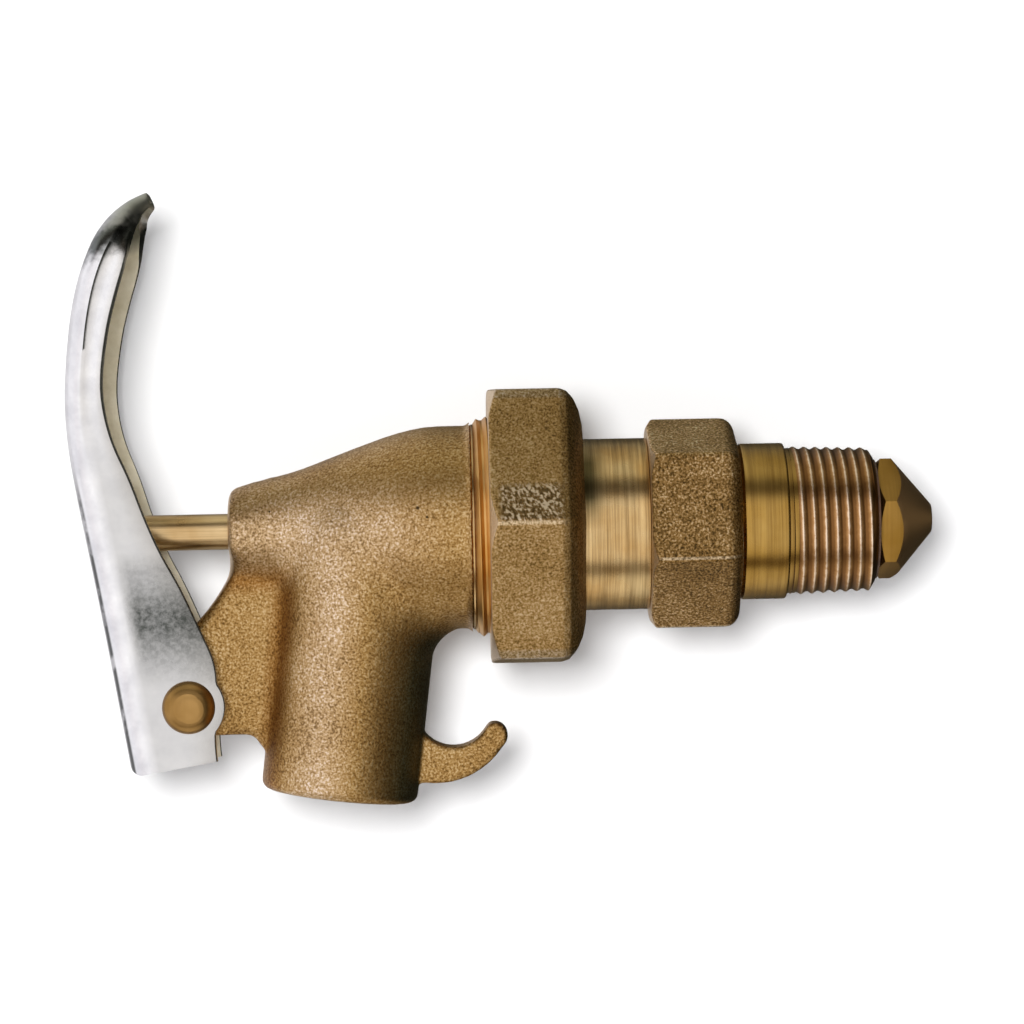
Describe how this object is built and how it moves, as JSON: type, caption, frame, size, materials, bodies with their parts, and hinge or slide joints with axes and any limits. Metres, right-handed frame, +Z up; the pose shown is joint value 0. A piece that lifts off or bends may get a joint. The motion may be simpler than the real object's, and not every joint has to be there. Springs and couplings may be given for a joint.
{
  "type": "self-closing drum tap",
  "caption": "Self-closing bronze drum tap with a pressed thumb lever, elbow spout, union nut and a spring-closed inlet valve.",
  "frame": {"origin": "on the inlet axis at the hand-tight plane of the inlet thread, 8.8 mm back from the valve seat", "axes": "+X along the inlet into the drum, +Z up with the spout hanging down, Y across the symmetry plane"},
  "size_m": [0.1528, 0.054, 0.1089],
  "materials": {
    "cast_bronze": "as cast, fine sandy skin",
    "turned_brass": "turned",
    "plated_steel": "bright plated",
    "spring_steel": "drawn",
    "ptfe": "matte",
    "seal_rubber": "matte"
  },
  "bodies": {
    "inlet": {"inlet_adapter": "cast_bronze", "union_tail": "turned_brass", "union_gasket": "ptfe", "stem_guide": "turned_brass", "closing_spring": "spring_steel"},
    "union_nut": {"union_nut": "cast_bronze"},
    "tap_body": {"body": "cast_bronze", "packing_washer": "turned_brass", "packing_ring_1": "ptfe", "packing_ring_2": "ptfe", "packing_ring_3": "ptfe", "packing_gland": "turned_brass", "arrester_screen": "spring_steel", "screen_ring": "spring_steel"},
    "lever": {"lever": "plated_steel", "pivot_rivet": "turned_brass"},
    "valve_stem": {"valve_stem": "turned_brass", "poppet": "turned_brass", "seal_disc": "seal_rubber", "seal_washer": "spring_steel", "spring_collar": "turned_brass", "collar_clip": "spring_steel"}
  },
  "joints": [
    {"name": "union_swivel", "type": "hinge", "parent": "inlet", "child": "tap_body", "pos_m": [-0.05, 0, 0], "axis": [1, 0, 0], "range_deg": [-90, 90]},
    {"name": "union_nut_turn", "type": "hinge", "parent": "inlet", "child": "union_nut", "pos_m": [-0.05, 0, 0], "axis": [1, 0, 0], "range_deg": [0, 90]},
    {"name": "lever_hinge", "type": "hinge", "parent": "tap_body", "child": "lever", "pos_m": [-0.1129, 0, -0.0307], "axis": [0, 1, 0], "range_deg": [0, 11], "stiffness_Nm_per_rad": 3.2, "springref_deg": -11},
    {"name": "stem_slide", "type": "slide", "parent": "tap_body", "child": "valve_stem", "axis": [1, 0, 0], "range_m": [0, 0.0059], "deforming": ["closing_spring"]}
  ],
  "couplings": [
    {"joint": "stem_slide", "follows": "lever_hinge", "m_per_rad": 0.0306}
  ]
}
